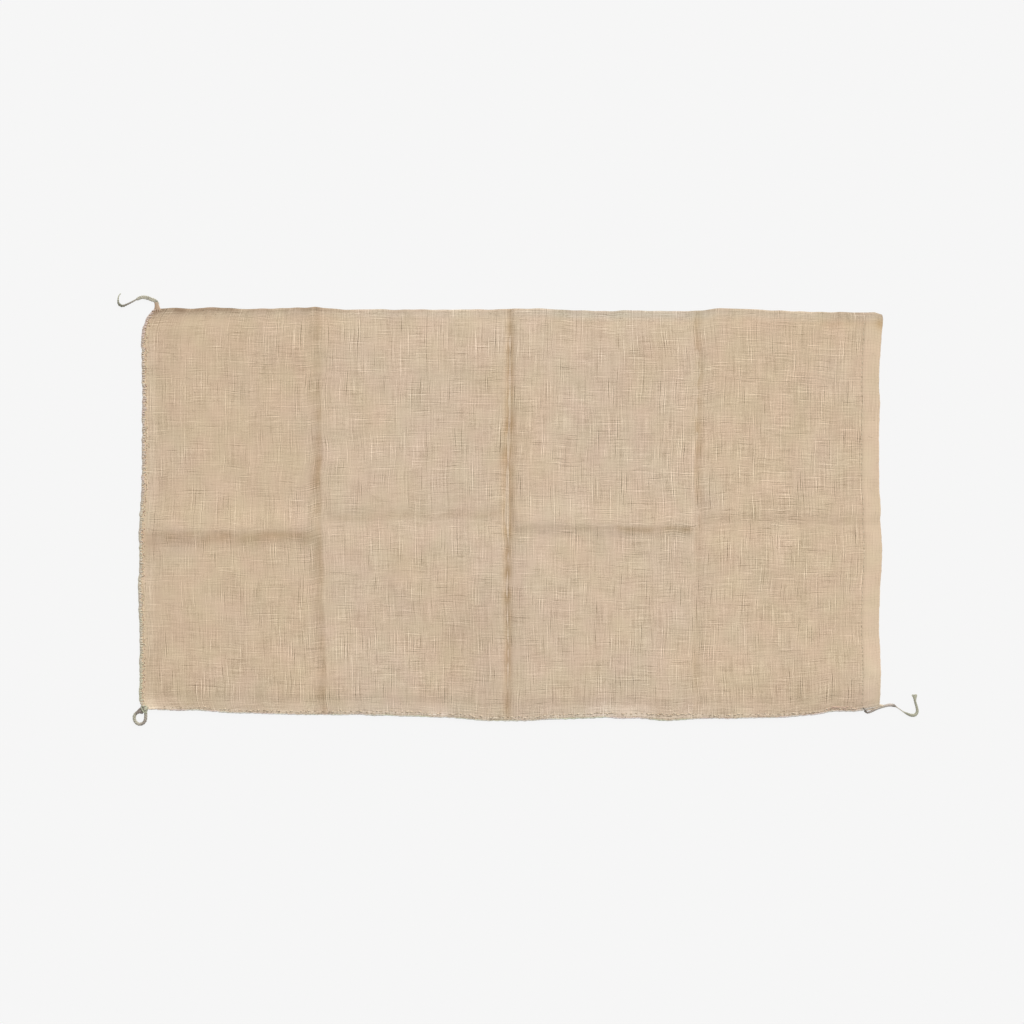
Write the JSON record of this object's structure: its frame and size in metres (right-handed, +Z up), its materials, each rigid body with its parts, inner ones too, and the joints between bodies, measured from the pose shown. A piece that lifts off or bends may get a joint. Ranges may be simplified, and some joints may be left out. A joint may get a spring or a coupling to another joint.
{
  "type": "jute sack",
  "caption": "Empty jute sack lying flat: one cloth folded into a pocket, overlocked end, sewn side, hemmed open mouth, fold creases and loose thread ends.",
  "frame": {"origin": "under the middle of the sack's outline, on the surface that it lies on", "axes": "+X from the closed end to the mouth, +Y from the side seam to the fold, +Z up"},
  "size_m": [1.1941, 0.645, 0.0151],
  "materials": {
    "jute_cloth": "coarse plain-woven natural jute, matt and hairy",
    "seam_thread": "loosely twisted grey-brown sewing thread, matt"
  },
  "bodies": {
    "root": {"sack_cloth": "jute_cloth", "end_seam": "seam_thread", "side_seam": "seam_thread", "end_tail": "seam_thread", "end_loop": "seam_thread", "side_tail": "seam_thread"}
  },
  "joints": []
}
